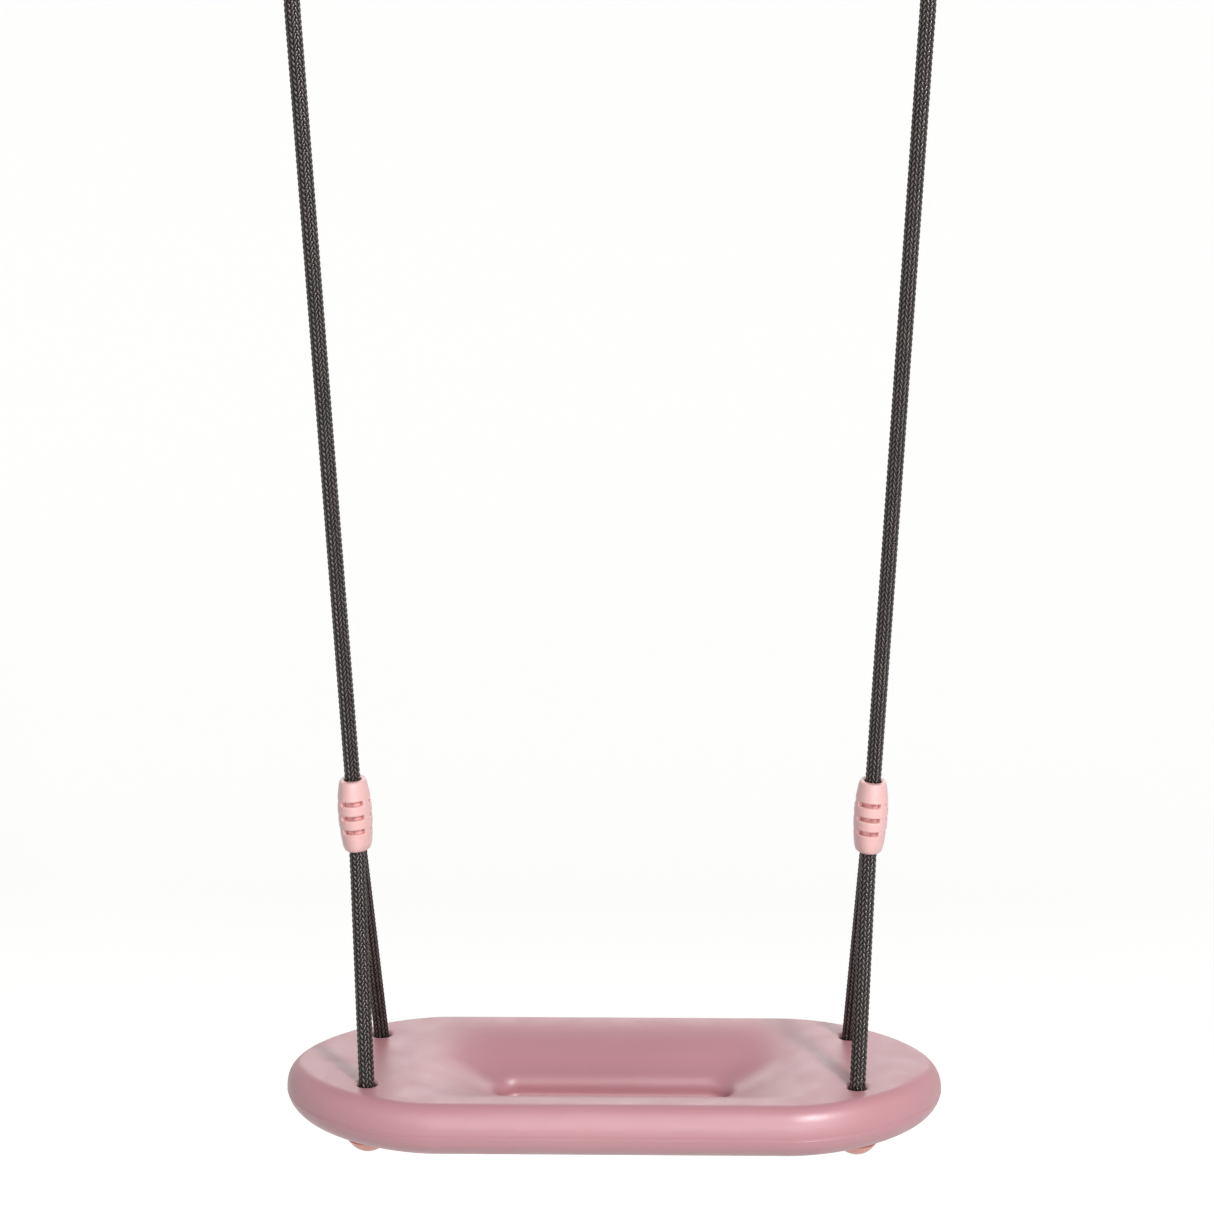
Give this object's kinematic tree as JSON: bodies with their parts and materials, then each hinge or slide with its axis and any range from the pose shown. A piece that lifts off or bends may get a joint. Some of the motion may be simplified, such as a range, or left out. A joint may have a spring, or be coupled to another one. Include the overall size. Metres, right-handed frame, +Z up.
{
  "type": "plank swing seat",
  "caption": "Moulded plank swing with a dished seat hung on two rope lines, each with a sliding slotted clamp and a steel ring.",
  "frame": {"origin": "middle of the hang line, which runs through the centres of the two hanging rings", "axes": "+X along the hang line and the seat's length, -Y towards the front, +Z up"},
  "size_m": [0.4544, 0.1796, 0.9232],
  "materials": {
    "seat_plastic": "satin, fine grain",
    "clamp_plastic": "satin gloss",
    "cap_plastic": "satin gloss",
    "rope_yarn": "braided polypropylene",
    "zinc_steel": "zinc plated",
    "thimble_plastic": "moulded nylon"
  },
  "bodies": {
    "hang_rings": {"hanging_ring_left": "zinc_steel", "hanging_ring_right": "zinc_steel"},
    "swing": {"seat": "seat_plastic", "knot_cap_front_left": "cap_plastic", "knot_cap_front_right": "cap_plastic", "knot_cap_rear_left": "cap_plastic", "knot_cap_rear_right": "cap_plastic", "knot_washer_front_left": "zinc_steel", "knot_washer_front_right": "zinc_steel", "knot_washer_rear_left": "zinc_steel", "knot_washer_rear_right": "zinc_steel", "rope_knot_front_left": "rope_yarn", "rope_knot_front_right": "rope_yarn", "rope_knot_rear_left": "rope_yarn", "rope_knot_rear_right": "rope_yarn", "main_rope_left": "rope_yarn", "tail_rope_left": "rope_yarn", "clamp_core_outer_left": "clamp_plastic", "clamp_core_inner_left": "clamp_plastic", "rope_thimble_left": "thimble_plastic", "eye_ferrule_left": "zinc_steel", "main_rope_right": "rope_yarn", "tail_rope_right": "rope_yarn", "clamp_core_outer_right": "clamp_plastic", "clamp_core_inner_right": "clamp_plastic", "rope_thimble_right": "thimble_plastic", "eye_ferrule_right": "zinc_steel"},
    "clamp_left": {"clamp_sleeve_left": "clamp_plastic"},
    "clamp_right": {"clamp_sleeve_right": "clamp_plastic"}
  },
  "joints": [
    {"name": "swing_hinge", "type": "hinge", "parent": "hang_rings", "child": "swing", "pos_m": [0, 0, 0], "axis": [1, 0, 0], "range_deg": [-45, 45]},
    {"name": "clamp_slide_left", "type": "slide", "parent": "swing", "child": "clamp_left", "axis": [-0.0531, 0, 0.9986], "range_m": [0, 0.06]},
    {"name": "clamp_slide_right", "type": "slide", "parent": "swing", "child": "clamp_right", "axis": [0.0531, 0, 0.9986], "range_m": [0, 0.06]}
  ]
}
